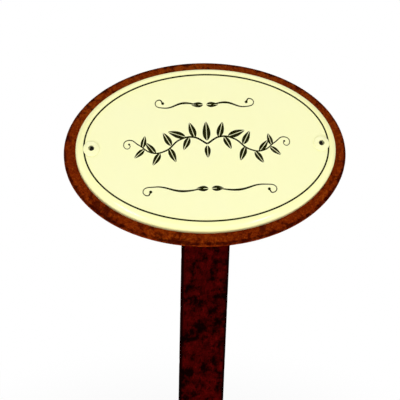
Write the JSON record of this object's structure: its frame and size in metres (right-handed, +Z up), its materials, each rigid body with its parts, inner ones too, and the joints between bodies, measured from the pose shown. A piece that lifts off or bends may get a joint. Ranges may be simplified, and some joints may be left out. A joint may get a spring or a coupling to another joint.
{
  "type": "plant label stake",
  "caption": "Oval enamelled garden sign riveted to a rusted steel plate, leaning back on a pointed flat-bar stake for pushing into soil.",
  "frame": {"origin": "the middle of the bar's section at the soil line, the level to which the stake is pushed in", "axes": "+Z up along the stake, +X to the reader's right, -Y towards the reader, so the sign faces -Y and up"},
  "size_m": [0.1144, 0.0623, 0.3014],
  "materials": {
    "cover_enamel": "gloss",
    "blank_steel": "satin",
    "ground_enamel": "gloss",
    "rusted_plate": "matte",
    "rusted_bar": "matte",
    "rivet_lacquer": "gloss",
    "mandrel_steel": "satin",
    "spacer_plastic": "matte",
    "weld_metal": "matte"
  },
  "bodies": {
    "root": {"front_enamel": "cover_enamel", "sign_blank": "blank_steel", "back_enamel": "ground_enamel", "backing_plate": "rusted_plate", "stake": "rusted_bar", "left_rivet": "rivet_lacquer", "right_rivet": "rivet_lacquer", "left_mandrel": "mandrel_steel", "right_mandrel": "mandrel_steel", "left_spacer": "spacer_plastic", "right_spacer": "spacer_plastic", "left_weld": "weld_metal", "right_weld": "weld_metal", "top_weld": "weld_metal"}
  },
  "joints": []
}
